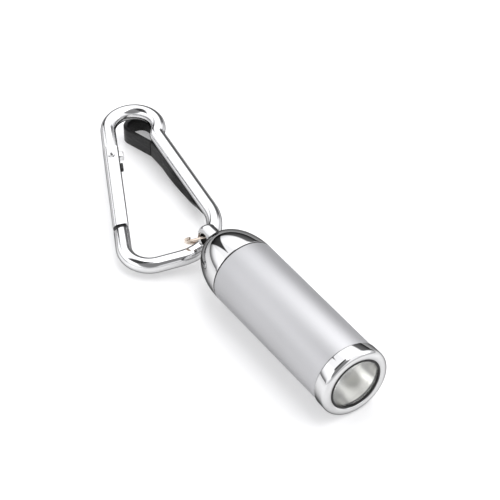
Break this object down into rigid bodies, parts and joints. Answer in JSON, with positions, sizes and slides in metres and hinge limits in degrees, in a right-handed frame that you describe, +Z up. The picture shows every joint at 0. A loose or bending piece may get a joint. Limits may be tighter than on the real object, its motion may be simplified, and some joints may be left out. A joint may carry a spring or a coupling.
{
  "type": "keychain flashlight",
  "caption": "Short round flashlight with domed tail and convex lens in a twist bezel, hung by a split ring from a sprung-gate carabiner with a narrow strap.",
  "frame": {"origin": "on the barrel axis, inside the bezel, 1.2 mm behind its front lip and at the front end of the bezel's straight band", "axes": "+X along the barrel towards the lens, +Z up, the part resting on its side"},
  "size_m": [0.1355, 0.04, 0.0206],
  "materials": {
    "barrel_alu": "satin, fine bead-blasted",
    "cap_chrome": "polished, plated",
    "bezel_chrome": "polished, plated",
    "lens_glass": "clear, polished",
    "seal_rubber": "matt black",
    "reflector_mirror": "vacuum-metallised",
    "board": "white solder mask",
    "led_epoxy": "clear epoxy",
    "holder_plastic": "moulded black",
    "contact_brass": "plated",
    "steel": "drawn, plain",
    "cell_steel": "nickel-plated",
    "ring_steel": "nickel-plated, polished",
    "clip_alu": "polished",
    "strap_leather": "black, smooth"
  },
  "bodies": {
    "barrel": {"barrel_tube": "barrel_alu", "tail_cap": "cap_chrome", "tail_gasket": "seal_rubber", "tail_oring": "seal_rubber", "tail_plate": "contact_brass", "tail_spring": "steel", "battery_sleeve": "holder_plastic", "cell_1": "cell_steel", "cell_2": "cell_steel", "cell_3": "cell_steel", "cell_4": "cell_steel"},
    "lamp": {"lamp_holder": "holder_plastic", "reflector": "reflector_mirror", "led_board": "board", "led_emitter": "led_epoxy", "board_contact": "contact_brass"},
    "bezel": {"bezel": "bezel_chrome", "lens": "lens_glass", "lens_gasket": "seal_rubber", "head_oring": "seal_rubber"},
    "ring": {"split_ring": "ring_steel"},
    "carabiner": {"carabiner_body": "clip_alu", "gate_pin": "steel", "strap": "strap_leather", "strap_rivet": "steel"},
    "gate": {"carabiner_gate": "clip_alu", "gate_spring": "steel"}
  },
  "joints": [
    {"name": "lamp_travel", "type": "slide", "parent": "barrel", "child": "lamp", "axis": [1, 0, 0], "range_m": [-0.0001875, 0]},
    {"name": "bezel_twist", "type": "hinge", "parent": "lamp", "child": "bezel", "pos_m": [0, 0, 0], "axis": [1, 0, 0], "range_deg": [0, 90]},
    {"name": "ring_swing", "type": "hinge", "parent": "barrel", "child": "ring", "pos_m": [-0.0684, 0, 0], "axis": [0, 0.9945, -0.1045], "range_deg": [-20, 120]},
    {"name": "carabiner_swing", "type": "hinge", "parent": "ring", "child": "carabiner", "pos_m": [-0.0738, 0.00174, -0.00605], "axis": [0.0699, -0.0681, 0.9952], "range_deg": [-3, 30]},
    {"name": "gate_open", "type": "hinge", "parent": "carabiner", "child": "gate", "pos_m": [-0.11633, -0.00283, -0.00346], "axis": [0.0699, -0.0681, 0.9952], "range_deg": [0, 28], "stiffness_Nm_per_rad": 0.02, "springref_deg": -17.19}
  ],
  "couplings": [
    {"joint": "bezel_twist", "follows": "lamp_travel", "rad_per_m": -8375}
  ]
}
